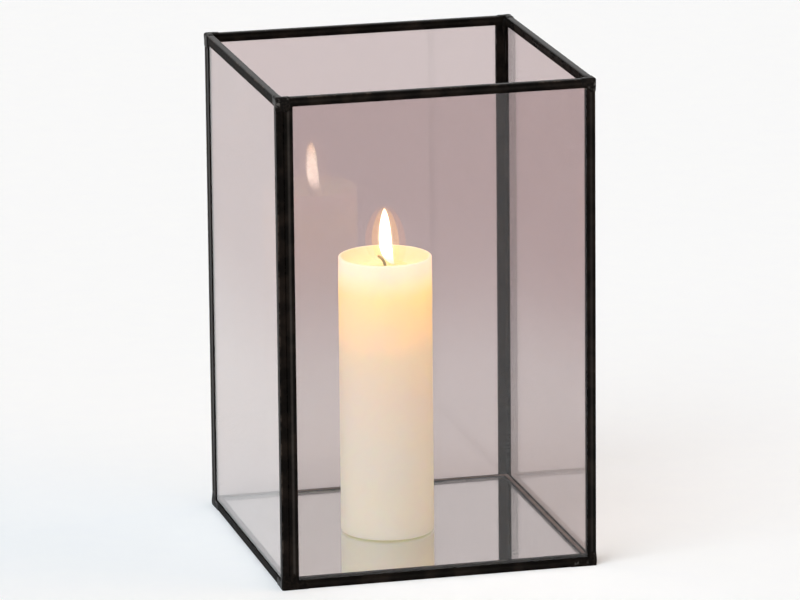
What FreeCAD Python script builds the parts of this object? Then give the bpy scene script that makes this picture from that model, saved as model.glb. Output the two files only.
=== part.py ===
import FreeCAD, Part
import math
import os

# Hurricane candle lantern: four glass walls and a mirror base, each in its own frame of folded channel,
# soldered into an open-topped box. A pillar candle stands on the mirror. Millimetres, +Z up.
# The origin is on the standing surface, under the middle of the box. The front is towards -Y.

Vector = FreeCAD.Vector
x_axis = Vector(1, 0, 0)
y_axis = Vector(0, 1, 0)
z_axis = Vector(0, 0, 1)

# Box
lantern_width = 170.0
lantern_height = 263.0

# Glass
pane_thickness = 3.0
backing_thickness = 0.1
pane_edge_gap = 0.6
seam_clearance = 0.1

# Folded channel that frames every pane
channel_depth = 4.8
channel_wall = 0.4
inner_bend = 0.4
slot_clearance = 0.05
panel_gap = 0.05
base_channel_depth = 2.8
base_lift = 1.6

# Solder on the outside of the corners
top_solder_build = 0.45
top_solder_reach = 8.0
top_solder_drop = 7.5
bottom_solder_build = 0.6
bottom_solder_reach = 14.0
bottom_solder_rise = 8.5
solder_round_share = 0.9

# Solder on the inside of the corners and under the base
seam_leg = 0.85
seam_foot = 0.6
seam_hollow = 0.2
seam_top_gap = 1.0
tack_radius = 0.85
tack_length = 4.0
tack_inset = 12.0

# Candle
candle_diameter = 50.0
candle_height = 150.5
candle_x = -8.0
candle_y = -1.5
base_round = 0.6
rim_round = 1.2
pool_depth = 7.0
wick_diameter = 1.6
wick_clearance = 0.1
wick_foot = 1.5
wick_straight = 1.0
wick_bend_radius = 6.5
wick_bend_degrees = 68.0

# Sizes that follow from those above
outer_bend = inner_bend + channel_wall
pane_seam = inner_bend + seam_clearance
channel_thickness = pane_thickness + 2 * (slot_clearance + channel_wall)
half_width = lantern_width / 2
inner_half = half_width - channel_thickness
panel_length = lantern_width - channel_thickness - panel_gap
base_side = 2 * (inner_half - panel_gap)
mirror_thickness = pane_thickness - backing_thickness
backing_bottom = base_lift + channel_wall
mirror_bottom = backing_bottom + backing_thickness
mirror_top = mirror_bottom + mirror_thickness
base_top = base_lift + channel_thickness
quarter_turn = 90.0


def box(low, high):
    size = high - low
    return Part.makeBox(size.x, size.y, size.z, low)


def turned(shape, axis, degrees):
    copy = shape.copy()
    copy.rotate(Vector(0, 0, 0), axis, degrees)
    return copy


def moved(shape, offset):
    copy = shape.copy()
    copy.translate(offset)
    return copy


def largest_solid(shape):
    return max(shape.Solids, key=lambda solid: solid.Volume)


def quarter_arc(start, centre, end):
    # The arc's middle lies on the bisector of its two ends, at the same radius.
    middle = (start + end) / 2 - centre
    middle.normalize()
    return Part.Arc(start, centre + middle * (start - centre).Length, end).toShape()


# Channel strip: a U section in the YZ plane, web at the bottom, run along X and mitred at both ends
def trough(low_y, high_y, low_z, bend, rim):
    # Straight sides up to the rim, with a round bend at each lower corner.
    left = Vector(0, low_y + bend, low_z + bend)
    right = Vector(0, high_y - bend, low_z + bend)
    down = z_axis * bend
    out = y_axis * bend
    rim_left = Vector(0, low_y, rim)
    rim_right = Vector(0, high_y, rim)
    edges = [Part.makeLine(rim_left, left - out)]
    edges.append(quarter_arc(left - out, left, left - down))
    edges.append(Part.makeLine(left - down, right - down))
    edges.append(quarter_arc(right - down, right, right + out))
    edges.append(Part.makeLine(right + out, rim_right))
    edges.append(Part.makeLine(rim_right, rim_left))
    return Part.Face(Part.Wire(edges))


def channel_section(depth):
    outside = trough(0, channel_thickness, 0, outer_bend, depth)
    slot = trough(channel_wall, channel_thickness - channel_wall, channel_wall, inner_bend, depth)
    return outside.cut(slot).Faces[0]


def channel_strip(length, depth):
    bar = channel_section(depth).extrude(x_axis * length)
    mitred = [Vector(0, 0, 0), Vector(length, 0, 0)]
    mitred += [Vector(length - depth, 0, depth), Vector(depth, 0, depth)]
    mitred.append(mitred[0])
    keep = Part.Face(Part.makePolygon(mitred)).extrude(y_axis * channel_thickness)
    return bar.common(keep).Solids[0]


# Frame of four strips in the XZ plane, with its lower left outer corner at the origin
def frame(length, height, depth):
    across = channel_strip(length, depth)
    upright = channel_strip(height, depth)
    return {
        "bottom": across,
        "end": moved(turned(upright, y_axis, -quarter_turn), x_axis * length),
        "top": moved(turned(across, y_axis, 2 * quarter_turn), Vector(length, 0, height)),
        "start": moved(turned(upright, y_axis, quarter_turn), z_axis * height),
    }


# Pane with every edge ground, so that it clears the bends inside its channels
def ground_plate(length, width, thickness):
    plate = Part.makeBox(length, width, thickness)
    return plate.makeChamfer(pane_seam, plate.Edges)


# Wall: the pane stands on the web of the lower strip, with room above and beside it
def wall_pieces():
    side_gap = channel_wall + pane_edge_gap
    pane_length = panel_length - 2 * side_gap
    pane_height = lantern_height - 2 * channel_wall - pane_edge_gap
    flat_pane = ground_plate(pane_length, pane_height, pane_thickness)
    pane = moved(turned(flat_pane, x_axis, quarter_turn), y_axis * pane_thickness)
    face_gap = channel_wall + slot_clearance
    pieces = frame(panel_length, lantern_height, channel_depth)
    pieces["pane"] = moved(pane, Vector(side_gap, face_gap, channel_wall))
    corner = Vector(channel_thickness + panel_gap - half_width, -half_width, 0)
    return {name: moved(piece, corner) for name, piece in pieces.items()}


# Base: a narrower frame laid flat between the walls, round a mirror that lies on its painted backing
def base_pieces():
    to_middle = Vector(-base_side / 2, base_side / 2, base_lift)
    laid = {}
    for name, piece in frame(base_side, base_side, base_channel_depth).items():
        laid[name] = moved(turned(piece, x_axis, quarter_turn), to_middle)
    mirror_side = base_side - 2 * (channel_wall + pane_edge_gap)
    corner = Vector(-mirror_side / 2, -mirror_side / 2, 0)
    mirror = ground_plate(mirror_side, mirror_side, mirror_thickness)
    backing = Part.makeBox(mirror_side, mirror_side, backing_thickness)
    return {
        "base_back_channel": laid["bottom"],
        "base_right_channel": laid["end"],
        "base_front_channel": laid["top"],
        "base_left_channel": laid["start"],
        "mirror_glass": moved(mirror, corner + z_axis * mirror_bottom),
        "mirror_backing": moved(backing, corner + z_axis * backing_bottom),
    }


# Corner solder: a thin coat over the posts and rails that meet at the front left corner
def rounded_block(low, high, radius):
    # Edges that lie on the standing surface stay sharp.
    block = box(low, high)
    return block.makeFillet(radius, [edge for edge in block.Edges if edge.BoundBox.ZMax > radius])


def corner_coat(build, reach, post_span, rail_span):
    outer = -half_width - build
    post_x = channel_thickness + panel_gap + channel_depth - half_width
    post_y = channel_depth - half_width
    rail_end = reach - half_width
    radius = solder_round_share * build
    post_low = Vector(outer, outer, post_span[0])
    rail_low = Vector(outer, outer, rail_span[0])
    post = rounded_block(post_low, Vector(post_x, post_y, post_span[1]), radius)
    rails = rounded_block(rail_low, Vector(rail_end, rail_end, rail_span[1]), radius)
    walls = box(Vector(-half_width, -half_width, 0), Vector(half_width, half_width, lantern_height))
    mouth_top = lantern_height + 2 * build
    mouth = box(Vector(-inner_half, -inner_half, 0), Vector(inner_half, inner_half, mouth_top))
    return largest_solid(post.fuse(rails).cut(walls).cut(mouth).removeSplitter())


def top_solder():
    top = lantern_height + top_solder_build
    post_span = (lantern_height - top_solder_drop, top)
    rail_span = (lantern_height - channel_depth, top)
    return corner_coat(top_solder_build, top_solder_reach, post_span, rail_span)


def bottom_solder():
    post_span = (0, bottom_solder_rise)
    rail_span = (0, channel_depth)
    return corner_coat(bottom_solder_build, bottom_solder_reach, post_span, rail_span)


# Seam solder: a hollow fillet up the inside of the front left corner, filling the bend of the front wall
def seam_solder(front_strips):
    corner = Vector(-inner_half, -inner_half, base_top)
    below = corner - y_axis * outer_bend
    up_the_side = corner + y_axis * seam_leg
    along_front = corner + x_axis * (panel_gap + outer_bend + seam_foot)
    middle = (up_the_side + along_front) / 2
    hollow = middle + (corner - middle) * seam_hollow
    edges = [Part.makeLine(below, up_the_side)]
    edges.append(Part.Arc(up_the_side, hollow, along_front).toShape())
    edges.append(Part.makeLine(along_front, below))
    height = lantern_height - seam_top_gap - base_top
    prism = Part.Face(Part.Wire(edges)).extrude(z_axis * height)
    for strip in front_strips:
        prism = prism.cut(strip)
    return largest_solid(prism)


# Base tacks: two short beads on each side, in the angle under the base frame and beside the wall
def base_tacks(front_strip):
    tacks = []
    wall_box = box(Vector(-half_width, -half_width, 0), Vector(half_width, -inner_half, lantern_height))
    for side in (-1, 1):
        middle_x = side * (inner_half - tack_inset)
        start = Vector(middle_x - tack_length / 2, -inner_half, base_lift)
        bead = Part.makeCylinder(tack_radius, tack_length, start, x_axis)
        bead = bead.fuse(Part.makeSphere(tack_radius, start))
        bead = bead.fuse(Part.makeSphere(tack_radius, start + x_axis * tack_length))
        tacks.append(largest_solid(bead.cut(wall_box).cut(front_strip)))
    around = []
    for turn in range(4):
        around += [turned(tack, z_axis, turn * quarter_turn) for tack in tacks]
    return Part.makeCompound(around)


# Candle: a turned pillar with a shallow melted bowl round the wick
def candle_wax():
    radius = candle_diameter / 2
    bore = wick_diameter / 2 + wick_clearance
    rim_top = mirror_top + candle_height
    lip = radius - rim_round
    bowl_radius = (lip ** 2 + pool_depth ** 2) / (2 * pool_depth)

    def bowl(r):
        height = rim_top - pool_depth + bowl_radius - math.sqrt(bowl_radius ** 2 - r ** 2)
        return Vector(r, 0, height)

    base = Vector(radius - base_round, 0, mirror_top)
    side_low = Vector(radius, 0, mirror_top + base_round)
    side_high = Vector(radius, 0, rim_top - rim_round)
    rim = Vector(lip, 0, rim_top)
    bore_low = Vector(bore, 0, mirror_top)
    edges = [Part.makeLine(bore_low, base)]
    edges.append(quarter_arc(base, Vector(base.x, 0, side_low.z), side_low))
    edges.append(Part.makeLine(side_low, side_high))
    edges.append(quarter_arc(side_high, Vector(rim.x, 0, side_high.z), rim))
    edges.append(Part.Arc(rim, bowl((lip + bore) / 2), bowl(bore)).toShape())
    edges.append(Part.makeLine(bowl(bore), bore_low))
    pillar = Part.Face(Part.Wire(edges)).revolve(Vector(0, 0, 0), z_axis, 360)
    return moved(pillar, Vector(candle_x, candle_y, 0))


# Wick: straight through the wax, then bent over to the left above the bowl
def candle_wick():
    bend_start = Vector(0, 0, mirror_top + candle_height - pool_depth + wick_straight)
    centre = bend_start - x_axis * wick_bend_radius
    angle = math.radians(wick_bend_degrees)

    def on_bend(share):
        turn = angle * share
        return centre + Vector(math.cos(turn), 0, math.sin(turn)) * wick_bend_radius

    foot = Vector(0, 0, mirror_top + wick_foot)
    path = [Part.makeLine(foot, bend_start)]
    path.append(Part.Arc(bend_start, on_bend(0.5), on_bend(1)).toShape())
    section = Part.Wire(Part.makeCircle(wick_diameter / 2, foot, z_axis))
    wick = Part.Wire(path).makePipeShell([section], True, True)
    return moved(wick, Vector(candle_x, candle_y, 0))


# Assembly: each wall laps over the end of the next, so one wall and one corner serve all four turns
wall_names = ("front", "right", "back", "left")
start_names = ("left", "front", "right", "back")
end_names = ("right", "back", "left", "front")
corner_names = ("front_left", "front_right", "back_right", "back_left")

nodes = {}
wall = wall_pieces()
base = base_pieces()
corner_solder = {
    "top_solder": top_solder(),
    "bottom_solder": bottom_solder(),
    "seam_solder": seam_solder((wall["start"], wall["top"])),
}
for turn in range(4):
    angle = turn * quarter_turn
    name = wall_names[turn]
    strip_names = {"bottom": "bottom", "top": "top", "start": start_names[turn], "end": end_names[turn]}
    nodes[name + "_pane"] = turned(wall["pane"], z_axis, angle)
    for place, side in strip_names.items():
        nodes[name + "_" + side + "_channel"] = turned(wall[place], z_axis, angle)
    for kind, solder in corner_solder.items():
        nodes[corner_names[turn] + "_" + kind] = turned(solder, z_axis, angle)
nodes.update(base)
nodes["base_solder_tacks"] = base_tacks(base["base_front_channel"])
nodes["candle_wax"] = candle_wax()
nodes["candle_wick"] = candle_wick()

os.makedirs("parts", exist_ok=True)
for name, shape in nodes.items():
    shape.exportStep("parts/" + name + ".step")
    print(name, len(shape.Solids), "solids", shape.isValid(), round(shape.Volume, 2))
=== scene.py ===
import math
import bpy
import numpy as np
from mathutils import Matrix, Vector


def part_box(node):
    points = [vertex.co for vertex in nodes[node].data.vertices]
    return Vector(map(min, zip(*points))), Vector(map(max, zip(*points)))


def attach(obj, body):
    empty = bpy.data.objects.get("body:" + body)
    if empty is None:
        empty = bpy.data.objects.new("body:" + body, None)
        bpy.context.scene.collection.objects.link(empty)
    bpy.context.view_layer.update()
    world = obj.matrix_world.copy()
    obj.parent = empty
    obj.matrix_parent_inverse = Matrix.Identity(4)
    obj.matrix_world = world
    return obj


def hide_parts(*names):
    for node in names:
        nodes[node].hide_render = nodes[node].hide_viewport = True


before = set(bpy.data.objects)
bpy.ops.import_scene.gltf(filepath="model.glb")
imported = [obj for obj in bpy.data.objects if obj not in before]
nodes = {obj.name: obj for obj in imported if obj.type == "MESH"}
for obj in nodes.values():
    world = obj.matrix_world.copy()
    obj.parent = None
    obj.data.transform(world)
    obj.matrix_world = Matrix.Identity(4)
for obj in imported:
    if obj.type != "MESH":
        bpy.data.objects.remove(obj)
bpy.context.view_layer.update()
scene = bpy.context.scene
scene.view_settings.view_transform = "Standard"
mm = 0.001
print("frame loaded:", len(nodes), "nodes")

# Box sizes in millimetres, as in the part; start is where a wall's frame begins, behind its neighbour
lantern = {
    "half": 85.0, "height": 263.0, "strip": 3.9, "flange": 4.8, "bend": 0.8, "baseLow": 1.6, "start": 81.05,
}
innerHalf = lantern["half"] - lantern["strip"]

# Camera
shot = {
    "azimuth": -14.003, "elevation": 14.269, "roll": -0.560, "distance": 3.400, "aimHeight": 0.1315,
    "focalPixels": 6387.6, "centreX": 398.75, "centreY": 296.93, "imageWidth": 800.0, "imageHeight": 600.0,
    "sensorWidth": 36.0, "clipEnd": 50.0,
}


def makeCamera(look):
    turn = math.radians(look["azimuth"])
    rise = math.radians(look["elevation"])
    roll = math.radians(look["roll"])
    back = Vector((math.sin(turn) * math.cos(rise), -math.cos(turn) * math.cos(rise), math.sin(rise)))
    right = Vector((math.cos(turn), math.sin(turn), 0))
    up = back.cross(right)
    rolledRight = right * math.cos(roll) + up * math.sin(roll)
    rolledUp = up * math.cos(roll) - right * math.sin(roll)
    place = Vector((0, 0, look["aimHeight"])) + back * look["distance"]
    data = bpy.data.cameras.new("photo_camera")
    data.sensor_fit = "HORIZONTAL"
    data.sensor_width = look["sensorWidth"]
    data.lens = data.sensor_width * look["focalPixels"] / look["imageWidth"]
    data.shift_x = (look["imageWidth"] / 2 - look["centreX"]) / look["imageWidth"]
    data.shift_y = (look["centreY"] - look["imageHeight"] / 2) / look["imageWidth"]
    data.clip_end = look["clipEnd"]
    camera = bpy.data.objects.new("photo_camera", data)
    axes = Matrix((rolledRight, rolledUp, back)).transposed().to_4x4()
    camera.matrix_world = Matrix.Translation(place) @ axes
    scene.collection.objects.link(camera)
    scene.camera = camera


makeCamera(shot)
print("camera placed")


# A shader value: + - * / and ** add Math nodes
class Val:
    def __init__(self, finish, socket):
        self.finish = finish
        self.socket = socket

    def op(self, operation, *others):
        return self.finish.add("ShaderNodeMath", {"operation": operation}, dict(enumerate((self,) + others)))

    def __add__(self, other):
        return self.op("ADD", other)

    def __radd__(self, other):
        return self.op("ADD", other)

    def __sub__(self, other):
        return self.op("SUBTRACT", other)

    def __rsub__(self, other):
        return self.op("MULTIPLY_ADD", -1.0, other)

    def __mul__(self, other):
        return self.op("MULTIPLY", other)

    def __rmul__(self, other):
        return self.op("MULTIPLY", other)

    def __truediv__(self, other):
        return self.op("DIVIDE", other)

    def __pow__(self, other):
        return self.op("POWER", other)

    def __abs__(self):
        return self.op("ABSOLUTE")

    def least(self, other):
        return self.op("MINIMUM", other)

    def most(self, other):
        return self.op("MAXIMUM", other)

    # 0 below low, 1 above high, smooth between
    def ease(self, low, high):
        settings = {"interpolation_type": "SMOOTHSTEP"}
        limits = {"Value": self, "From Min": low, "From Max": high}
        return self.finish.add("ShaderNodeMapRange", settings, limits)

    # Eases up over the first pair of limits and down again over the second
    def within(self, start, stop):
        return self.ease(*start) * (1 - self.ease(*stop))


# A finish: one material or world and the node maker for it
class Finish:
    def __init__(self, name, owner=None):
        self.owner = owner or bpy.data.materials.new(name)
        self.owner.use_nodes = True
        self.tree = self.owner.node_tree
        self.tree.nodes.clear()

    # Settings go in first, then each named or numbered socket gets its value or link
    def add(self, kind, settings=None, inputs=None, out=0):
        node = self.tree.nodes.new(kind)
        for key, value in (settings or {}).items():
            if key == "stops":
                for extra in range(len(value) - 2):
                    node.color_ramp.elements.new(0.5)
                for stop, (position, colour) in zip(node.color_ramp.elements, value):
                    stop.position = position
                    stop.color = (*colour, 1)
            else:
                setattr(node, key, value)
        for key, value in (inputs or {}).items():
            if isinstance(key, int):
                socket = node.inputs[key]
            else:
                socket = next(s for s in node.inputs if s.enabled and key in (s.name, s.identifier))
            if isinstance(value, Val):
                self.tree.links.new(value.socket, socket)
            elif socket.type == "RGBA":
                socket.default_value = (*value, 1)
            else:
                socket.default_value = value
        if isinstance(out, int):
            return Val(self, node.outputs[out])
        return Val(self, next(s for s in node.outputs if s.enabled and s.name == out))

    def place(self):
        return self.add("ShaderNodeTexCoord", out="Object")

    def split(self, vector):
        made = self.add("ShaderNodeSeparateXYZ", None, {0: vector})
        return [Val(self, socket) for socket in made.socket.node.outputs]

    def stretch(self, vector, scale):
        return self.add("ShaderNodeVectorMath", {"operation": "MULTIPLY"}, {0: vector, 1: scale})

    def cloud(self, vector, scale, detail, roughness):
        inputs = {"Vector": vector, "Scale": scale, "Detail": detail, "Roughness": roughness}
        return self.add("ShaderNodeTexNoise", None, inputs)

    def mix(self, share, first, second):
        inputs = {"Factor_Float": share, "A_Color": first, "B_Color": second}
        return self.add("ShaderNodeMix", {"data_type": "RGBA"}, inputs, out="Result")

    def ramp(self, share, stops):
        return self.add("ShaderNodeValToRGB", {"stops": stops}, {0: share})

    def bump(self, height, distance, strength):
        inputs = {"Height": height, "Distance": distance, "Strength": strength}
        return self.add("ShaderNodeBump", None, inputs)

    def skin(self, inputs):
        return self.add("ShaderNodeBsdfPrincipled", None, inputs)

    def done(self, shader, kind="ShaderNodeOutputMaterial"):
        output = self.tree.nodes.new(kind)
        self.tree.links.new(shader.socket, output.inputs["Surface"])
        return self.owner


# Distance in from the nearer end of a wall's frame. Away from a corner, the wall that a point isn't on gives
# the smaller value, so the larger one counts.
def endDistance(x, y):
    half = lantern["half"] * mm
    start = lantern["start"] * mm
    alongX = x * y.op("SIGN") * -1
    alongY = y * x.op("SIGN")
    return (half - alongX).least(alongX + start).most((half - alongY).least(alongY + start))


# Distance to the nearer of the box's foot and top
def levelDistance(z):
    return z.least(lantern["height"] * mm - z)


# In the finishes below, a noise is its scale, detail and roughness, heights and widths are in metres, and a
# pair of limits is where a change starts and where it is complete.
white = (1.0, 1.0, 1.0)
unlit = (0.0, 0.0, 0.0)

# Smoked glass: a rose-grey tint, deeper towards the top and a little uneven, with a faint film of patina
# along the channels and painted shade, near black, where the glass sits in their slots. Shadow rays are
# dimmed only a little, so the inside stays lit.
smoked = {
    "low": (0.765, 0.715, 0.712), "high": (0.668, 0.575, 0.574), "deepens": (0.28, 0.64), "uneven": 0.2,
    "film": (0.46, 0.40, 0.38), "filmWidth": 0.003, "filmPatches": (0.42, 0.72), "filmShare": 0.35,
    "paintedSlotShade": (0.012, 0.011, 0.010), "paintedSlotShadeEdge": (-0.0005, -0.0001), "index": 1.50,
    "shade": (0.93, 0.915, 0.91), "drift": (7.0, 1.0, 0.5), "mottle": (320.0, 4.0, 0.65),
}


def smokedGlassFinish(look):
    f = Finish("smoked_glass")
    at = f.place()
    x, y, z = f.split(at)
    drift = f.cloud(at, *look["drift"])
    mottle = f.cloud(at, *look["mottle"])
    inset = endDistance(x, y).least(levelDistance(z)) - lantern["flange"] * mm
    film = (1 - inset.ease(0.0, look["filmWidth"])) * mottle.ease(*look["filmPatches"])
    # Painted shade: where the channels hide the glass, its colour goes near black
    paintedSlotShade = 1 - inset.ease(*look["paintedSlotShadeEdge"])
    rise = z / (lantern["height"] * mm) + (drift - 0.5) * look["uneven"]
    tint = f.mix(rise.ease(*look["deepens"]), look["low"], look["high"])
    tint = f.mix(film * look["filmShare"], tint, look["film"])
    tint = f.mix(paintedSlotShade, tint, look["paintedSlotShade"])
    glass = f.skin({
        "Base Color": tint, "Roughness": 0.0, "IOR": look["index"], "Transmission Weight": 1.0,
    })
    clear = f.add("ShaderNodeBsdfTransparent", None, {"Color": look["shade"]})
    shadow = f.add("ShaderNodeLightPath", out="Is Shadow Ray")
    return f.done(f.add("ShaderNodeMixShader", None, {0: shadow, 1: glass, 2: clear}))


# Blackened channel: roll lines along the strip, cloudy brown-black patina, a painted highlight along the
# middle of each face, outer edges rubbed towards bare metal, and top faces waxed and glossier. Upright
# strips shine a little more, and their painted highlight is strongest at the left. The tops of the base
# strips carry a painted brown reflection, except at the front.
channel = {
    "black": (0.0045, 0.0040, 0.0037), "brown": (0.013, 0.0098, 0.0080), "browns": (0.40, 0.66),
    "bare": (0.085, 0.066, 0.055), "edge": 0.0009, "rubs": (0.47, 0.60), "rubShare": 0.75,
    "rubPatina": 0.7, "rubSpecks": 0.3, "highlightLine": (0.056, 0.051, 0.047), "highlightHalf": (0.0001, 0.0011),
    "highlightEven": 0.2, "highlightPatchy": 0.8, "leftHighlight": 0.8, "rightHighlight": 0.5, "highlightSpan": (-0.05, 0.05),
    "levelHighlight": 0.20, "flecks": (0.62, 0.74), "fleckShare": 0.35,
    "baseTopReflection": (0.185, 0.135, 0.118), "baseFront": (-0.0783, -0.0778), "baseEven": 0.55, "basePatchy": 0.6,
    "baseAcross": ((0.0040, 0.0043), (0.0060, 0.0065)), "baseHeight": ((0.0052, 0.0054), (0.0060, 0.0065)),
    "roughness": 0.09, "lineRoughness": 0.10, "patinaRoughness": 0.30, "specular": 0.002,
    "uprightSpecular": 0.012,
    "waxed": 0.34, "waxedFrom": (0.2622, 0.2630), "waxRoughness": 0.15,
    "relief": 0.00003, "reliefShare": 0.7, "lineHeight": 0.5, "patinaHeight": 0.9, "speckHeight": 0.25,
    "lines": (2600.0, 2.0, 0.6), "lineStretch": 0.03,
    "patina": (85.0, 5.0, 0.62), "specks": (900.0, 2.0, 0.5),
}


def blackChannelFinish(axis, look):
    upright = axis == 2
    f = Finish("black_channel_" + "xyz"[axis])
    at = f.place()
    x, y, z = f.split(at)
    along = [1.0, 1.0, 1.0]
    along[axis] = look["lineStretch"]
    lines = f.cloud(f.stretch(at, along), *look["lines"])
    patina = f.cloud(at, *look["patina"])
    specks = f.cloud(at, *look["specks"])
    dx = lantern["half"] * mm - abs(x)
    dy = lantern["half"] * mm - abs(y)
    dz = levelDistance(z)
    nearest = dx.least(dy)
    # The middle one of the three distances to the box's faces is small only at an outer edge
    second = nearest.most(dx.most(dy).least(dz))
    rub = 1 - second.ease(0.0, look["edge"])
    rub = rub * (patina * look["rubPatina"] + specks * look["rubSpecks"]).ease(*look["rubs"])
    across = endDistance(x, y) if upright else dz
    # Painted highlight: a paler line along the middle of each face, brightest on the upright strips at the
    # left
    highlightLine = 1 - abs(across - 0.5 * lantern["flange"] * mm).ease(*look["highlightHalf"])
    highlightStrength = look["levelHighlight"]
    if upright:
        highlightStrength = look["leftHighlight"] - x.ease(*look["highlightSpan"]) * (look["leftHighlight"] - look["rightHighlight"])
    # Painted reflection: the tops of the base strips, other than the front one, are lighter brown
    base = nearest.within(*look["baseAcross"]) * z.within(*look["baseHeight"]) * y.ease(*look["baseFront"])
    colour = f.mix(patina.ease(*look["browns"]), look["black"], look["brown"])
    highlightLine = highlightLine * (patina * look["highlightPatchy"] + look["highlightEven"]) * highlightStrength
    colour = f.mix(highlightLine, colour, look["highlightLine"])
    colour = f.mix(specks.ease(*look["flecks"]) * look["fleckShare"], colour, look["brown"])
    colour = f.mix(rub * look["rubShare"], colour, look["bare"])
    base = base * (patina * look["basePatchy"] + look["baseEven"])
    colour = f.mix(base, colour, look["baseTopReflection"])
    height = lines * look["lineHeight"] + patina * look["patinaHeight"] + specks * look["speckHeight"]
    return f.done(f.skin({
        "Base Color": colour,
        "Roughness": patina * look["patinaRoughness"] + (lines * look["lineRoughness"] + look["roughness"]),
        "Specular IOR Level": look["uprightSpecular" if upright else "specular"],
        "Coat Weight": z.ease(*look["waxedFrom"]) * look["waxed"], "Coat Roughness": look["waxRoughness"],
        "Normal": f.bump(height, look["relief"], look["reliefShare"]),
    }))


# Solder: the same patina over a flowed surface with dimples and pulled ridges, waxed near the top. Bright
# spots on the ridges are partly rubbed bare metal and partly painted highlights.
solder = {
    "black": (0.0045, 0.0040, 0.0036), "brown": (0.012, 0.0095, 0.0080), "browns": (0.38, 0.66),
    "bright": (0.34, 0.33, 0.32), "ridges": (0.58, 0.68), "rubs": (0.42, 0.60), "rubShare": 0.28,
    "rubAndGlintMetal": 0.4, "roughness": 0.10, "patinaRoughness": 0.12, "specular": 0.010, "waxed": 0.08,
    "waxedFrom": (0.250, 0.262), "waxRoughness": 0.10, "relief": 0.00006, "reliefShare": 0.4,
    "patinaHeight": 0.1, "flow": (170.0, 2.0, 0.5), "patina": (700.0, 4.0, 0.6),
}


def blackSolderFinish(look):
    f = Finish("black_solder")
    at = f.place()
    z = f.split(at)[2]
    flow = f.cloud(at, *look["flow"])
    patina = f.cloud(at, *look["patina"])
    # Bright spots on the ridges: partly rubbed bare metal, partly painted highlights
    rubbedAndGlints = flow.ease(*look["ridges"]) * patina.ease(*look["rubs"])
    colour = f.mix(patina.ease(*look["browns"]), look["black"], look["brown"])
    colour = f.mix(rubbedAndGlints * look["rubShare"], colour, look["bright"])
    return f.done(f.skin({
        "Base Color": colour, "Metallic": rubbedAndGlints * look["rubAndGlintMetal"],
        "Roughness": patina * look["patinaRoughness"] + look["roughness"],
        "Specular IOR Level": look["specular"],
        "Coat Weight": z.ease(*look["waxedFrom"]) * look["waxed"], "Coat Roughness": look["waxRoughness"],
        "Normal": f.bump(flow + patina * look["patinaHeight"], look["relief"], look["reliefShare"]),
    }))


# Mirror: clear glass over silver; the silver darkens in specks at its border, and its underside is painted
mirror = {
    "glass": (0.985, 0.995, 0.99), "glassDeep": (0.975, 0.988, 0.985), "deepens": (0.3, 0.7), "index": 1.50,
    "silver": (0.95, 0.95, 0.945), "spoiled": (0.16, 0.14, 0.12), "half": 0.08, "border": (0.0015, 0.0045),
    "spoils": (0.56, 0.66), "spoiledDull": 0.8, "spoiledRoughness": 0.25, "paint": (0.115, 0.118, 0.12),
    "paintWorn": (0.165, 0.165, 0.16),
    "wears": (0.35, 0.68), "paintEdge": (0.00203, 0.00207), "paintRoughness": 0.5, "drift": (12.0, 1.0, 0.5),
    "specks": (380.0, 4.0, 0.7), "brushed": (900.0, 3.0, 0.6), "brushStretch": (1.0, 0.06, 1.0),
}


def clearGlassFinish(look):
    f = Finish("clear_glass")
    drift = f.cloud(f.place(), *look["drift"])
    colour = f.mix(drift.ease(*look["deepens"]), look["glass"], look["glassDeep"])
    return f.done(f.skin({
        "Base Color": colour, "Roughness": 0.0, "IOR": look["index"], "Transmission Weight": 1.0,
    }))


def mirrorSilverFinish(look):
    f = Finish("mirror_silver")
    at = f.place()
    x, y, z = f.split(at)
    inset = (look["half"] - abs(x)).least(look["half"] - abs(y))
    specks = f.cloud(at, *look["specks"])
    spoiled = (1 - inset.ease(*look["border"])) * specks.ease(*look["spoils"])
    brushed = f.cloud(f.stretch(at, look["brushStretch"]), *look["brushed"])
    silver = f.mix(spoiled, look["silver"], look["spoiled"])
    paint = f.mix(brushed.ease(*look["wears"]), look["paint"], look["paintWorn"])
    top = z.ease(*look["paintEdge"])
    return f.done(f.skin({
        "Base Color": f.mix(top, paint, silver), "Metallic": top * (1 - spoiled * look["spoiledDull"]),
        "Roughness": (1 - top) * look["paintRoughness"] + spoiled * look["spoiledRoughness"],
    }))


# Ivory wax: soft and translucent, cloudy where it cooled against the mould. Outside, its glow grows towards
# the flame and shows again under the foot; the bowl has a glow of its own.
wax = {
    "ivory": (0.885, 0.855, 0.785), "pale": (0.91, 0.885, 0.83), "pales": (0.34, 0.68),
    "molten": (0.90, 0.81, 0.55), "moltenFrom": (0.140, 0.150), "axis": (-0.008, -0.0015),
    "bowlEdge": (0.0228, 0.0250), "scatter": (0.012, 0.007, 0.0035), "scatterShare": 0.55,
    "roughness": 0.30, "grainRoughness": 0.16, "cloudRoughness": 0.10, "coat": 0.0, "meltRoughness": 0.12,
    "meltCoat": 0.15, "coatRoughness": 0.05,
    "glowLow": 0.005, "glowHigh": 0.150, "glowStrength": 1.6, "bowlGlow": (0.28, 0.275, 0.075),
    "glow": [
        (0.0, (0.46, 0.45, 0.44)), (0.004, (0.18, 0.17, 0.10)), (0.014, (0.17, 0.16, 0.088)),
        (0.334, (0.16, 0.145, 0.075)), (0.527, (0.225, 0.155, 0.066)), (0.681, (0.33, 0.235, 0.070)),
        (0.793, (0.66, 0.36, 0.062)), (0.910, (0.84, 0.52, 0.050)), (0.961, (0.90, 0.64, 0.25)),
        (1.0, (0.94, 0.64, 0.40)),
    ],
    "dims": (0.30, 0.75), "dimShare": 0.18, "relief": 0.00006, "reliefShare": 0.5, "grainHeight": 0.6,
    "cloudy": (45.0, 4.0, 0.6), "grain": (420.0, 3.0, 0.6), "grainStretch": (1.0, 1.0, 0.18),
}


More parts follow.
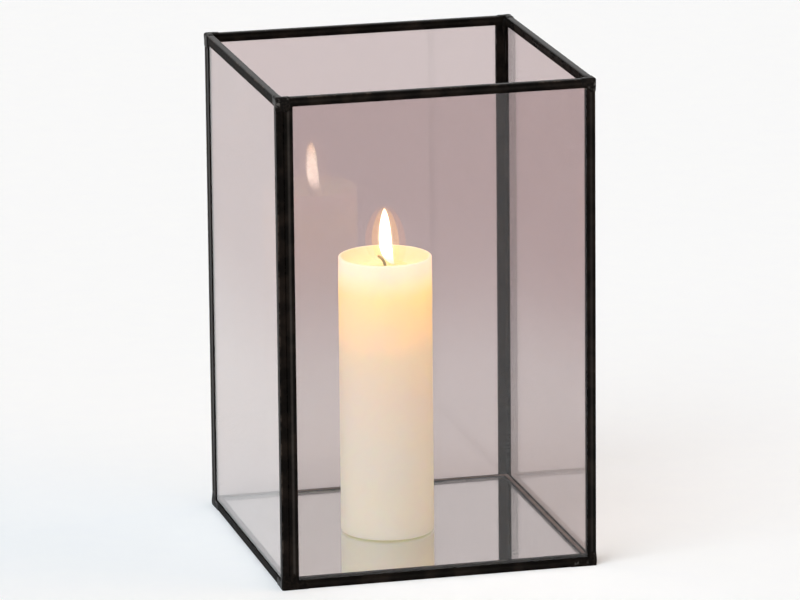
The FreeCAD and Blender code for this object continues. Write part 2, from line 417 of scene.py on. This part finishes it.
def ivoryWaxFinish(name, look, roughness, coat):
    f = Finish(name)
    at = f.place()
    x, y, z = f.split(at)
    cloudy = f.cloud(at, *look["cloudy"])
    grain = f.cloud(f.stretch(at, look["grainStretch"]), *look["grain"])
    fromAxis = ((x - look["axis"][0]) ** 2 + (y - look["axis"][1]) ** 2) ** 0.5
    outward = fromAxis.ease(*look["bowlEdge"])
    colour = f.mix(cloudy.ease(*look["pales"]), look["ivory"], look["pale"])
    colour = f.mix(outward.most(1 - z.ease(*look["moltenFrom"])), look["molten"], colour)
    rise = (z - look["glowLow"]) / (look["glowHigh"] - look["glowLow"])
    glow = f.mix(outward, look["bowlGlow"], f.ramp(rise, look["glow"]))
    glow = f.mix(cloudy.ease(*look["dims"]) * look["dimShare"], glow, unlit)
    uneven = grain * look["grainRoughness"] + cloudy * look["cloudRoughness"]
    return f.done(f.skin({
        "Base Color": colour, "Roughness": uneven + roughness,
        "Subsurface Weight": look["scatterShare"], "Subsurface Radius": look["scatter"],
        "Subsurface Scale": 1.0, "Coat Weight": coat, "Coat Roughness": look["coatRoughness"],
        "Emission Color": glow, "Emission Strength": look["glowStrength"],
        "Normal": f.bump(grain * look["grainHeight"] + cloudy, look["relief"], look["reliefShare"]),
    }))


# Wick: cream cotton low down, burnt to a dull olive above the wax, with a faint ember at the tip
wick = {
    "cotton": (0.70, 0.62, 0.46), "burnt": (0.20, 0.19, 0.13), "burntFrom": (0.1475, 0.1495),
    "olive": (0.46, 0.44, 0.30), "olives": (0.35, 0.7), "roughness": 0.7, "fibreRoughness": 0.2,
    "specular": 0.2, "ember": (1.0, 0.16, 0.02), "emberFrom": (0.1551, 0.1562), "emberPatches": (0.3, 0.6),
    "emberStrength": 1.2, "relief": 0.00008, "reliefShare": 0.8, "fibre": (4200.0, 3.0, 0.65),
    "fibreStretch": (1.0, 1.0, 0.25),
}


def cottonWickFinish(look):
    f = Finish("cotton_wick")
    at = f.place()
    z = f.split(at)[2]
    fibre = f.cloud(f.stretch(at, look["fibreStretch"]), *look["fibre"])
    colour = f.mix(fibre.ease(*look["olives"]), look["burnt"], look["olive"])
    colour = f.mix(z.ease(*look["burntFrom"]), look["cotton"], colour)
    lit = z.ease(*look["emberFrom"]) * fibre.ease(*look["emberPatches"])
    return f.done(f.skin({
        "Base Color": colour, "Roughness": fibre * look["fibreRoughness"] + look["roughness"],
        "Specular IOR Level": look["specular"], "Emission Color": f.mix(lit, unlit, look["ember"]),
        "Emission Strength": look["emberStrength"],
        "Normal": f.bump(fibre, look["relief"], look["reliefShare"]),
    }))


# Flame: height alone sets its colour, from a dim foot through a white heart to an amber tip. Faint sheaths
# round it, each wider and more amber than the last, make its soft edge and its glow. Sizes in millimetres.
flame = {
    "x": -8.0, "y": -1.5, "foot": 150.3, "tip": 181.0, "widest": 3.15, "widestAt": 0.40, "power": 0.68,
    "footLean": 4.4, "footLeanOver": 0.17, "sway": 0.3, "liftBelow": 0.3, "liftAbove": 1.3,
    "rows": 64, "columns": 48, "strength": 15.0, "fadeIn": (-0.02, 0.24), "fadeOut": (0.87, 1.12),
    "colours": [
        (0.0, (0.10, 0.09, 0.06)), (0.12, (0.20, 0.18, 0.12)), (0.34, (1.0, 0.92, 0.72)),
        (0.70, (1.0, 0.92, 0.68)), (0.92, (0.80, 0.58, 0.30)), (1.0, (0.4, 0.24, 0.10)),
    ],
}
sheaths = [
    {"spread": 1.28, "lift": 0.4, "strength": 14.0, "solid": 0.02, "colour": (0.90, 0.88, 0.62)},
    {"spread": 2.3, "lift": 1.4, "strength": 10.0, "solid": 0.02, "colour": (1.0, 0.56, 0.05)},
    {"spread": 3.4, "lift": 2.8, "strength": 4.5, "solid": 0.02, "colour": (1.0, 0.36, 0.01)},
]


def flameFinish(name, look, stops, strength, solid):
    f = Finish(name)
    z = f.split(f.place())[2]
    rise = (z / mm - look["foot"]) / (look["tip"] - look["foot"])
    alpha = solid
    if solid < 1:
        alpha = rise.within(look["fadeIn"], look["fadeOut"]) * solid
    return f.done(f.skin({
        "Base Color": unlit, "Roughness": 1.0, "Specular IOR Level": 0.0, "Alpha": alpha,
        "Emission Color": f.ramp(rise, stops), "Emission Strength": strength,
    }))


finishes = {
    "smokedGlass": smokedGlassFinish(smoked),
    "channelX": blackChannelFinish(0, channel),
    "channelY": blackChannelFinish(1, channel),
    "channelZ": blackChannelFinish(2, channel),
    "solder": blackSolderFinish(solder),
    "clearGlass": clearGlassFinish(mirror),
    "silver": mirrorSilverFinish(mirror),
    "wax": ivoryWaxFinish("ivory_wax", wax, wax["roughness"], wax["coat"]),
    "pool": ivoryWaxFinish("melted_wax", wax, wax["meltRoughness"], wax["meltCoat"]),
    "wick": cottonWickFinish(wick),
    "flameHeart": flameFinish("flame_heart", flame, flame["colours"], flame["strength"], 1.0),
}
print("finishes made:", len(finishes))


# Shapes the CAD already has: each strip's finish follows the way it runs
def dress(node, finish):
    slots = nodes[node].data.materials
    slots.clear()
    slots.append(finish)


for node in nodes:
    if node.endswith("_pane"):
        dress(node, finishes["smokedGlass"])
    elif node.endswith("_channel"):
        low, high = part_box(node)
        run = max(range(3), key=lambda axis: high[axis] - low[axis])
        dress(node, finishes["channel" + "XYZ"[run]])
dress("mirror_backing", finishes["silver"])
print("frame nodes dressed")


# Mesh tools. A grid is rows by columns of points in millimetres; rows or columns may join up, and ends may
# close to a pole.
waveSum = {"count": 8, "divisor": 3.0}


def waves(seed, lengths, *coords):
    # Sum of sine waves whose directions, lengths and phases are drawn once, scaled to stay mostly in -1 to 1
    rng = np.random.default_rng(seed)
    total = 0.0
    for wave in range(waveSum["count"]):
        direction = rng.normal(size=len(coords))
        direction /= np.linalg.norm(direction)
        turns = sum(d * c for d, c in zip(direction, coords)) / rng.uniform(*lengths)
        total = total + np.sin(2 * math.pi * (turns + rng.uniform()))
    return total / waveSum["divisor"]


def gridShell(points, joinRows=False, joinColumns=False, poles=False):
    rows, columns = points.shape[:2]
    rowSteps = rows - (not joinRows)
    columnSteps = columns - (not joinColumns)
    i, j = np.meshgrid(np.arange(rowSteps), np.arange(columnSteps), indexing="ij")
    i2 = (i + 1) % rows
    j2 = (j + 1) % columns
    quads = np.stack([i * columns + j, i2 * columns + j, i2 * columns + j2, i * columns + j2], axis=-1)
    verts = points.reshape(-1, 3)
    faces = [quads.reshape(-1, 4)]
    if poles:
        ring = np.arange(columns)
        after = (ring + 1) % columns
        start = np.full(columns, len(verts))
        last = (rows - 1) * columns
        faces.append(np.stack([start, ring, after], axis=-1))
        faces.append(np.stack([start + 1, last + after, last + ring], axis=-1))
        verts = np.concatenate([verts, points[0].mean(0)[None], points[-1].mean(0)[None]])
    # The signed volume sums corner . (corner x corner) / 6 over the triangles; below 0, the faces are turned
    volume = 0.0
    for block in faces:
        for k in range(1, block.shape[1] - 1):
            a, b, c = (verts[block[:, n]] for n in (0, k, k + 1))
            volume += np.einsum("ij,ij->", a, np.cross(b, c)) / 6
    if volume < 0:
        faces = [block[:, ::-1] for block in faces]
    return verts, faces


def stacked(x, y, z):
    # One grid of points from arrays that broadcast together
    return np.stack(np.broadcast_arrays(x, y, z), axis=-1)


def roundTurn(columns):
    # One row of angles round a full turn
    return np.linspace(0, 2 * math.pi, columns, endpoint=False)[None, :]


def swings(middle, turn, terms):
    # The middle value plus sines round the turn, each with its order, amount and phase
    total = middle
    for order, amount, phase in terms:
        total = total + amount * np.sin(order * turn + phase)
    return total


def makePiece(name, shells, finish, body, replaced=()):
    # One mesh from its shells, on its body, in the place of the nodes that it replaces
    verts = []
    faces = []
    count = 0
    for shellVerts, shellFaces in shells:
        verts.append(shellVerts)
        for block in shellFaces:
            faces.extend((block + count).tolist())
        count += len(shellVerts)
    mesh = bpy.data.meshes.new(name)
    mesh.from_pydata((np.concatenate(verts) * mm).tolist(), [], faces)
    mesh.polygons.foreach_set("use_smooth", np.ones(len(mesh.polygons), bool))
    mesh.materials.append(finish)
    mesh.update()
    piece = bpy.data.objects.new(name, mesh)
    scene.collection.objects.link(piece)
    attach(piece, body)
    if replaced:
        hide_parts(*replaced)
    return piece


def quarterTurns(points, turn):
    # Turns points about the upright axis by whole quarter turns
    x, y, z = points[..., 0], points[..., 1], points[..., 2]
    across, along = ((x, y), (-y, x), (-x, -y), (y, -x))[turn]
    return np.stack([across, along, z], axis=-1)


cornerNames = ("front_left", "front_right", "back_right", "back_left")


def easeArray(value, low, high):
    # 0 below low, 1 above high, smooth between
    t = np.clip((value - low) / (high - low), 0, 1)
    return t * t * (3 - 2 * t)


# Corner solder: a skin over the outside of a corner. Columns run round the corner from the left rail to the
# front rail; rows run up the post and, at the top, over the rounded edge and across the rail. Its thickness
# falls to nothing at a wavering outline and dives just under the channel there, so its rim shows no edge.
topCoat = {
    "build": 0.42, "reach": 7.6, "drop": 7.2, "railDrop": 4.3, "edge": 1.7, "rows": 56, "columns": 96,
    "innerGap": 0.15, "waver": 0.3, "waverLengths": (3.0, 8.0), "ragged": 0.6, "raggedLengths": (2.0, 6.0),
    "fullness": 0.78, "uneven": 0.10, "unevenLengths": (3.4, 8.0), "lump": 0.3, "lumpAt": 0.4,
    "lumpSpread": 6.0, "thinnest": 0.3, "seed": 11,
}
bottomCoat = {
    "build": 0.50, "reach": 13.6, "rise": 8.4, "railRise": 4.4, "edge": 6.0, "rows": 44, "columns": 128,
    "low": 0.06, "waver": 0.35, "waverLengths": (4.0, 10.0), "ragged": 1.0, "raggedLengths": (3.0, 8.0),
    "fullness": 0.82, "uneven": 0.12, "unevenLengths": (4.0, 10.0), "foot": 0.30, "footRise": 2.0,
    "fullWithin": 1.5, "farEnd": 0.04, "thinnest": 0.3, "seed": 31,
}
skin = {"depth": 0.14, "dive": 0.06, "settle": 0.35, "stepFrom": 2.6, "stepTo": 0.2}


def outerPath(u, bend):
    # Distance u along the two outer faces, rounded where they meet: gives the point and the way outward
    arc = bend * math.pi / 4
    angle = np.clip(u / arc, -1, 1) * math.pi / 4 + math.pi * 1.25
    straight = np.clip(np.abs(u) - arc, 0, None)
    px = bend + bend * np.cos(angle) + np.where(u > arc, straight, 0)
    py = bend + bend * np.sin(angle) + np.where(u < -arc, straight, 0)
    return px, py, np.cos(angle), np.sin(angle)


def roundedRim(distance, edge):
    # Quarter ellipse: 0 at the outline, 1 from one edge width in
    inside = np.clip(distance / edge, 0, 1)
    return np.sqrt(np.clip(1 - (1 - inside) ** 2, 0, 1))


def postOutline(u, onRail, onPost):
    # How far the skin runs up or down: further on the post than on the rails, with the step inside the post
    width = np.where(u > 0, lantern["strip"] + lantern["flange"], lantern["flange"])
    step = easeArray(np.abs(u), width - skin["stepFrom"], width - skin["stepTo"])
    return onRail + (onPost - onRail) * (1 - step)


def skinLift(thickness, distance):
    # Height over the channel: the thickness, less a dive that ends a little way in from the outline
    return thickness - skin["dive"] * (1 - easeArray(distance, 0.0, skin["settle"]))


def closedSkin(outer, inner):
    # Outer rows followed by the inner rows backwards make one loop, pinched shut at both ends
    corner = np.array([-lantern["half"], -lantern["half"], 0.0])
    loop = np.concatenate([outer, inner[::-1]]) + corner
    middle = (loop + loop[::-1]) / 2
    loop[:, 0] = middle[:, 0]
    loop[:, -1] = middle[:, -1]
    return loop


def topCoatShell(look, seed):
    # u runs round the corner; v runs up the outer face, over the bend and inward across the top
    bend = lantern["bend"]
    thick = lantern["strip"]
    share = np.linspace(0, 1, look["rows"])[:, None]
    u = np.linspace(-look["reach"], look["reach"], look["columns"])[None, :]
    px, py, nx, ny = outerPath(u, bend)
    arcLength = bend * math.pi / 2
    down = postOutline(u, look["railDrop"], look["drop"])
    down = down + look["waver"] * waves(seed, look["waverLengths"], u)
    face = down - bend
    whole = face + arcLength + thick - bend - look["innerGap"]
    v = whole * share
    turn = np.clip((v - face) / arcLength, 0, 1) * math.pi / 2
    inward = bend * (1 - np.cos(turn)) + np.clip(v - face - arcLength, 0, None)
    z = lantern["height"] - down + np.minimum(v, face) + bend * np.sin(turn)
    # Across the rail the point slides from the outer line to the inner corner line
    slide = inward / thick
    along = np.abs(u) / look["reach"]
    innerX = np.where(u >= 0, thick + (look["reach"] - thick) * along, thick)
    innerY = np.where(u >= 0, thick, thick + (look["reach"] - thick) * along)
    bx = px + (innerX - px) * slide
    by = py + (innerY - py) * slide
    aside = look["reach"] - np.abs(u) + look["ragged"] * waves(seed + 1, look["raggedLengths"], v, u + 0 * v)
    distance = np.minimum(np.minimum(v, whole - v), aside)
    swell = look["fullness"] + look["uneven"] * waves(seed + 2, look["unevenLengths"], u + 0 * v, v)
    lump = np.exp(-(u ** 2 + (v - face - look["lumpAt"]) ** 2) / look["lumpSpread"])
    full = np.clip(swell + look["lump"] * lump, look["thinnest"], 1.0)
    lift = skinLift(look["build"] * full * roundedRim(distance, look["edge"]), distance)

    def layer(offset):
        out = np.cos(turn) * offset
        return stacked(bx + nx * out, by + ny * out, z + np.sin(turn) * offset)

    return closedSkin(layer(lift), layer(np.minimum(lift, 0) - skin["depth"]))


def bottomCoatShell(look, seed):
    # u runs round the corner and v up the outer face; it thins away from the corner and at the foot
    share = np.linspace(0, 1, look["rows"])[:, None]
    u = np.linspace(-look["reach"], look["reach"], look["columns"])[None, :]
    px, py, nx, ny = outerPath(u, lantern["bend"])
    top = postOutline(u, look["railRise"], look["rise"])
    top = top + look["waver"] * waves(seed, look["waverLengths"], u)
    v = look["low"] + (top - look["low"]) * share
    aside = look["reach"] - np.abs(u) + look["ragged"] * waves(seed + 1, look["raggedLengths"], v, u + 0 * v)
    distance = np.minimum(top - v, aside)
    away = easeArray(np.abs(u), look["fullWithin"], look["reach"])
    taper = look["farEnd"] + (1 - look["farEnd"]) * (1 - away)
    swell = look["fullness"] + look["uneven"] * waves(seed + 2, look["unevenLengths"], u + 0 * v, v)
    foot = look["foot"] + (1 - look["foot"]) * roundedRim(v, look["footRise"])
    full = np.clip(swell, look["thinnest"], 1.0) * taper * foot
    lift = skinLift(look["build"] * full * easeArray(distance, 0.0, look["edge"]), distance)

    def layer(offset):
        return stacked(px + nx * offset, py + ny * offset, v)

    return closedSkin(layer(lift), layer(np.minimum(lift, 0) - skin["depth"]))


# Seam solder: a hollow fillet carried up the inside of a corner, its legs swelling and thinning with height
seam = {
    "leg": 0.78, "foot": 1.30, "hollow": 0.22, "bite": 0.12, "low": 5.55, "high": 261.8, "rows": 240,
    "columns": 10, "fullness": 0.80, "uneven": 0.20, "unevenLengths": (6.0, 30.0), "endStart": 0.15,
    "endRound": 2.0, "seed": 51,
}


def seamShell(look, seed):
    z = np.linspace(look["low"], look["high"], look["rows"])[:, None]
    size = look["fullness"] + look["uneven"] * waves(seed, look["unevenLengths"], z)
    fromEnd = np.minimum(z - look["low"], look["high"] - z)
    size = size * roundedRim(fromEnd + look["endStart"], look["endRound"])
    t = np.linspace(0, 1, look["columns"])[None, :]
    # From the side wall to the front wall along a line that bows towards the corner
    bow = 1 - look["hollow"] * 4 * t * (1 - t)
    bite = np.full_like(z, -look["bite"])
    x = np.concatenate([look["foot"] * size * t * bow, look["foot"] * size, bite], axis=1)
    y = np.concatenate([look["leg"] * size * (1 - t) * bow, bite, bite], axis=1)
    x[:, 0] = -look["bite"] * 0.5
    corner = np.array([-innerHalf, -innerHalf, 0.0])
    return stacked(x, y, z) + corner


# Base tacks: short beads in the angle under the base frame and beside a wall, full in the middle and round
# at the ends
tack = {
    "radius": 0.85, "half": 2.75, "inset": 12.0, "bite": 0.08, "rows": 28, "columns": 12, "fullness": 0.85,
    "uneven": 0.15, "unevenLengths": (0.5, 1.4), "thinnest": 0.05, "seed": 71,
}


def tackShell(look, seed, side):
    # s runs along the bead and t round its quarter circle, whose radius falls off as a half ellipse
    s = np.linspace(-1, 1, look["rows"])[:, None]
    t = np.linspace(0, math.pi / 2, look["columns"])[None, :]
    swell = look["fullness"] + look["uneven"] * waves(seed, look["unevenLengths"], s)
    full = np.sqrt(np.clip(1 - s ** 2, 0.0, 1)) * swell
    radius = look["radius"] * np.clip(full, look["thinnest"], 1.0)
    bite = np.full_like(s, -look["bite"])
    y = np.concatenate([radius * np.cos(t), bite, bite, radius], axis=1)
    z = np.concatenate([radius * np.sin(t), radius, bite, bite], axis=1)
    middle = np.array([side * (innerHalf - look["inset"]), -innerHalf, lantern["baseLow"]])
    return stacked(s * look["half"], y, -z) + middle


tackShells = []
for turn, cornerName in enumerate(cornerNames):
    skins = (
        ("top", topCoatShell(topCoat, topCoat["seed"] + turn), False),
        ("bottom", bottomCoatShell(bottomCoat, bottomCoat["seed"] + turn), False),
        ("seam", seamShell(seam, seam["seed"] + turn), True),
    )
    for kind, points, poles in skins:
        node = cornerName + "_" + kind + "_solder"
        shell = gridShell(quarterTurns(points, turn), joinRows=not poles, joinColumns=poles, poles=poles)
        makePiece("flowed_" + node, [shell], finishes["solder"], "lantern", [node])
    for side in (-1, 1):
        points = quarterTurns(tackShell(tack, tack["seed"] + 2 * turn + side, side), turn)
        tackShells.append(gridShell(points, joinColumns=True, poles=True))
makePiece("flowed_tacks", tackShells, finishes["solder"], "lantern", ["base_solder_tacks"])
print("solder flowed")


# Mirror slab: a flat plate with seamed edges, a hair above the silver. Rows go up through its edge profile,
# columns go round its square outline.
slab = {"half": 80.05, "low": 2.12, "high": 5.0, "seam": 0.5, "perSide": 4}


def squareRing(half, perSide):
    # Evenly spaced points round a square, one side after another
    t = np.linspace(-1, 1, perSide, endpoint=False) * half
    flat = np.full_like(t, half)
    x = np.concatenate([t, flat, -t, -flat])
    y = np.concatenate([-flat, t, flat, -t])
    return x, y


def slabShell(look):
    halves = np.array([look["half"] - look["seam"], look["half"], look["half"], look["half"] - look["seam"]])
    levels = np.array([look["low"], look["low"] + look["seam"], look["high"] - look["seam"], look["high"]])
    x, y = squareRing(1.0, look["perSide"])
    points = stacked(halves[:, None] * x, halves[:, None] * y, levels[:, None])
    return gridShell(points, joinColumns=True, poles=True)


slabPiece = makePiece(
    "mirror_slab", [slabShell(slab)], finishes["clearGlass"], "lantern", ["mirror_glass"],
)
slabPiece.data.polygons.foreach_set("use_smooth", np.zeros(len(slabPiece.data.polygons), bool))
print("mirror laid")


# Candle: a profile turned round the wick. The side wavers by a tenth of a millimetre, the rim sags unevenly
# and the melted bowl falls to the wick.
candle = {
    "x": -8.0, "y": -1.5, "radius": 25.0, "low": 5.02, "top": 155.6, "baseRound": 0.6, "rimRound": 0.9,
    "bowl": 7.0, "bore": 0.95, "turns": 160, "cornerRows": 8, "footRows": 8, "sideRows": 72, "bowlRows": 26,
    "sideBand": 4.0, "footBand": 6.0, "rimBand": 12.0, "sagFrom": (6.0, 20.0), "sag": 0.25,
    "sagSwings": ((1, 0.35, 0.6), (3, 0.15, 1.1)), "slump": 0.15, "slumpSwings": ((2, 0.5, 2.0),),
    "swingMiddle": 0.5, "shrink": 0.06, "waver": 0.05, "waverLengths": (14.0, 60.0), "seed": 5,
}


def candleProfile(look):
    # Foot, round foot edge, side, rim and bowl, as radius and height; the last joins the first at the bore
    corner = np.linspace(0, math.pi / 2, look["cornerRows"])
    foot = look["baseRound"]
    rim = look["rimRound"]
    lip = look["radius"] - rim
    sphere = (lip ** 2 + look["bowl"] ** 2) / (2 * look["bowl"])
    footR = np.linspace(look["bore"], look["radius"] - foot, look["footRows"])[:-1]
    sideZ = np.linspace(look["low"] + foot, look["top"] - rim, look["sideRows"])[1:-1]
    bowlR = np.linspace(lip, look["bore"], look["bowlRows"])[1:]
    r = np.concatenate([
        footR, look["radius"] - foot + foot * np.sin(corner), np.full(len(sideZ), look["radius"]),
        lip + rim * np.cos(corner), bowlR,
    ])
    z = np.concatenate([
        np.full(len(footR), look["low"]), look["low"] + foot - foot * np.cos(corner), sideZ,
        look["top"] - rim + rim * np.sin(corner),
        look["top"] - look["bowl"] + sphere - np.sqrt(sphere ** 2 - bowlR ** 2),
    ])
    return r[:, None], z[:, None]


def candleShell(look):
    r, z = candleProfile(look)
    turn = roundTurn(look["turns"])
    onSide = easeArray(r, look["radius"] - look["sideBand"], look["radius"])
    onSide = onSide * easeArray(z, look["low"], look["low"] + look["footBand"])
    waver = waves(look["seed"], look["waverLengths"], r * np.cos(turn), r * np.sin(turn), z + 0 * turn)
    upper = easeArray(z, look["top"] - look["rimBand"], look["top"]) * easeArray(r, *look["sagFrom"])
    dip = look["sag"] * swings(look["swingMiddle"], turn, look["sagSwings"]) * upper
    radius = r - onSide * (look["shrink"] + look["waver"] * waver)
    radius = radius - look["slump"] * upper * swings(look["swingMiddle"], turn, look["slumpSwings"])
    points = stacked(look["x"] + radius * np.cos(turn), look["y"] + radius * np.sin(turn), z - dip)
    return gridShell(points, joinRows=True, joinColumns=True)


# Melted pool: a flat sheet of liquid wax that climbs a little at the wall of the bowl and at the wick
pool = {
    "radius": 12.0, "level": 150.15, "depth": 1.5, "thinnest": 0.15, "climb": 0.10, "climbWidth": 0.8,
    "wickClimb": 0.7, "wickClimbWidth": 0.6, "ripple": 0.02, "rippleLengths": (6.0, 14.0), "seed": 9,
    "edgeSwings": ((2, 0.035, 0.7), (5, 0.02, 0.0)), "rings": 24, "turns": 96,
}


def poolShell(look):
    # rho runs from the wick to the edge; the upper rows and then the under rows backwards make one loop
    rho = np.linspace(0, 1, look["rings"])[1:, None]
    turn = roundTurn(look["turns"])
    edge = look["radius"] * swings(1.0, turn, look["edgeSwings"])
    r = candle["bore"] + (edge - candle["bore"]) * rho
    atWall = np.exp(-(edge - r) / look["climbWidth"])
    atWick = look["wickClimb"] * np.exp(-(r - candle["bore"]) / look["wickClimbWidth"])
    ripple = look["ripple"] * waves(look["seed"], look["rippleLengths"], r * np.cos(turn), r * np.sin(turn))
    top = look["level"] + look["climb"] * (atWall + atWick) * (rho < 1) + ripple
    under = top - look["depth"] * (1 - rho ** 2) - look["thinnest"]
    rows = np.concatenate([top, under[::-1]])
    rr = np.concatenate([r, r[::-1]])
    points = stacked(candle["x"] + rr * np.cos(turn), candle["y"] + rr * np.sin(turn), rows)
    return gridShell(points, joinRows=True, joinColumns=True)


# Wick: a round cord carried up through the wax and bent over to the left. Two sets of spiral ridges cross to
# make the plait, and the top closes to a rounded, burnt end.
plait = {
    "radius": 0.78, "foot": 6.5, "bendAt": 149.5, "bendRadius": 6.5, "bend": 68.0, "relief": 0.11,
    "pitch": 2.6, "endRound": 0.9, "endLeast": 0.02, "fineLength": 8.0, "coarseRows": 60,
    "straightRows": 150, "bendRows": 60, "columns": 28,
}


def wickShell(look):
    # s runs along the cord, straight and then round an arc, and turn goes round it
    straight = look["bendAt"] - look["foot"]
    arc = math.radians(look["bend"]) * look["bendRadius"]
    fine = straight - look["fineLength"]
    s = np.concatenate([
        np.linspace(0, fine, look["coarseRows"]), np.linspace(fine, straight, look["straightRows"])[1:],
        np.linspace(straight, straight + arc, look["bendRows"])[1:],
    ])[:, None]
    turn = roundTurn(look["columns"])
    lean = np.clip(s - straight, 0, None) / look["bendRadius"]
    cx = -look["bendRadius"] * (1 - np.cos(lean))
    cz = look["foot"] + np.minimum(s, straight) + look["bendRadius"] * np.sin(lean)
    phase = 2 * math.pi * s / look["pitch"]
    ridge = np.maximum(np.sin(2 * turn + phase), np.sin(2 * turn - phase))
    end = np.clip((straight + arc - s) / look["endRound"], 0, 1)
    close = np.sqrt(np.clip(1 - (1 - end) ** 2, look["endLeast"], 1))
    radius = (look["radius"] - look["relief"] * (0.5 - 0.5 * ridge)) * close
    side = radius * np.cos(turn)
    x = candle["x"] + cx + side * np.cos(lean)
    y = candle["y"] + radius * np.sin(turn)
    points = stacked(x, y, cz + side * np.sin(lean))
    return gridShell(points, joinColumns=True, poles=True)


# Flame: its radius is a power of the height times a power of what is left above, widest a little below the
# middle. Its foot leans to the right of the wick and comes back to the axis as the height grows.
def flameShell(look, spread, lift):
    t = (0.5 - 0.5 * np.cos(np.linspace(0, math.pi, look["rows"])))[1:-1, None]
    turn = roundTurn(look["columns"])
    at = look["widestAt"]
    low = look["power"] * at / (1 - at)
    radius = look["widest"] * spread * (t / at) ** low * ((1 - t) / (1 - at)) ** look["power"]
    height = look["tip"] + look["liftAbove"] * lift - look["foot"]
    z = look["foot"] - look["liftBelow"] * lift + height * t
    lean = look["footLean"] * np.exp(-t / look["footLeanOver"])
    x = look["x"] + lean + radius * np.cos(turn)
    y = look["y"] + look["sway"] * np.sin(2 * math.pi * t) + radius * np.sin(turn)
    return gridShell(stacked(x, y, z), joinColumns=True, poles=True)


makePiece("turned_wax", [candleShell(candle)], finishes["wax"], "candle", ["candle_wax"])
makePiece("melt_pool", [poolShell(pool)], finishes["pool"], "candle")
makePiece("plaited_wick", [wickShell(plait)], finishes["wick"], "candle", ["candle_wick"])
makePiece("flame_heart", [flameShell(flame, 1.0, 0.0)], finishes["flameHeart"], "candle")
for number, look in enumerate(sheaths, 1):
    name = "flame_sheath_" + str(number)
    even = [(0.0, look["colour"]), (1.0, look["colour"])]
    glow = flameFinish(name, flame, even, look["strength"], look["solid"])
    makePiece(name, [flameShell(flame, look["spread"], look["lift"])], glow, "candle")
print("candle lit")

# Stage: a wide pale floor, and a white surround for what the camera, the gloss and the glass see
stage = {
    "radius": 9.0, "hub": 0.05, "rings": 24, "turns": 96, "lift": 0.15, "ambient": 0.42,
    "floor": (0.80, 0.845, 0.88), "flecked": (0.79, 0.835, 0.87), "flecks": (0.3, 0.7),
    "fleck": (60.0, 4.0, 0.6), "roughness": 0.9, "specular": 0.1, "surround": 1.0,
}


def shownRays(f):
    path = f.add("ShaderNodeLightPath").socket.node.outputs
    rays = ("Is Camera Ray", "Is Glossy Ray", "Is Transmission Ray")
    camera, glossy, through = (Val(f, path[name]) for name in rays)
    return camera.most(glossy).most(through)


def floorFinish(look):
    f = Finish("studio_floor")
    fleck = f.cloud(f.place(), *look["fleck"])
    colour = f.mix(fleck.ease(*look["flecks"]), look["floor"], look["flecked"])
    matte = f.skin({
        "Base Color": colour, "Roughness": look["roughness"], "Specular IOR Level": look["specular"],
    })
    lift = f.add("ShaderNodeEmission", None, {"Color": white, "Strength": shownRays(f) * look["lift"]})
    return f.done(f.add("ShaderNodeAddShader", None, {0: matte, 1: lift}))


def makeStage(look):
    # Rings of quads round a hub that is one flat face
    rho = np.linspace(look["hub"], look["radius"], look["rings"])[:, None]
    turn = roundTurn(look["turns"])
    verts, faces = gridShell(stacked(rho * np.cos(turn), rho * np.sin(turn), 0 * turn), joinColumns=True)
    mesh = bpy.data.meshes.new("studio_floor")
    mesh.from_pydata(verts.tolist(), [], faces[0].tolist() + [list(range(look["turns"]))])
    mesh.materials.append(floorFinish(look))
    floor = bpy.data.objects.new("studio_floor", mesh)
    scene.collection.objects.link(floor)
    world = bpy.data.worlds.new("studio")
    scene.world = world
    f = Finish("studio", world)
    soft = f.add("ShaderNodeBackground", None, {"Color": white, "Strength": look["ambient"]})
    bright = f.add("ShaderNodeBackground", None, {"Color": white, "Strength": look["surround"]})
    shader = f.add("ShaderNodeMixShader", None, {0: shownRays(f), 1: soft, 2: bright})
    f.done(shader, "ShaderNodeOutputWorld")


makeStage(stage)

# Lamps: a wide key from the left and a weaker warm fill from the right, both even over the whole stage. The
# fill doesn't show in the mirror or through the glass.
lamps = {
    "key": {
        "at": (-0.75, -0.65, 1.2), "power": 1.9, "angle": 45.0, "colour": (0.95, 0.98, 1.0),
        "mirrored": True,
    },
    "fill": {
        "at": (1.0, -0.3, 0.55), "power": 1.3, "angle": 60.0, "colour": (1.0, 0.56, 0.25),
        "mirrored": False,
    },
}
lampAim = (0, 0, 0.12)


def makeLamp(name, look):
    data = bpy.data.lights.new(name, "SUN")
    data.energy = look["power"]
    data.color = look["colour"]
    data.angle = math.radians(look["angle"])
    lamp = bpy.data.objects.new(name, data)
    lamp.location = look["at"]
    aim = Vector(lampAim) - Vector(look["at"])
    lamp.rotation_euler = aim.to_track_quat("-Z", "Y").to_euler()
    lamp.visible_glossy = look["mirrored"]
    lamp.visible_transmission = look["mirrored"]
    scene.collection.objects.link(lamp)


for lampName, look in lamps.items():
    makeLamp("lamp_" + lampName, look)
print("stage lit")
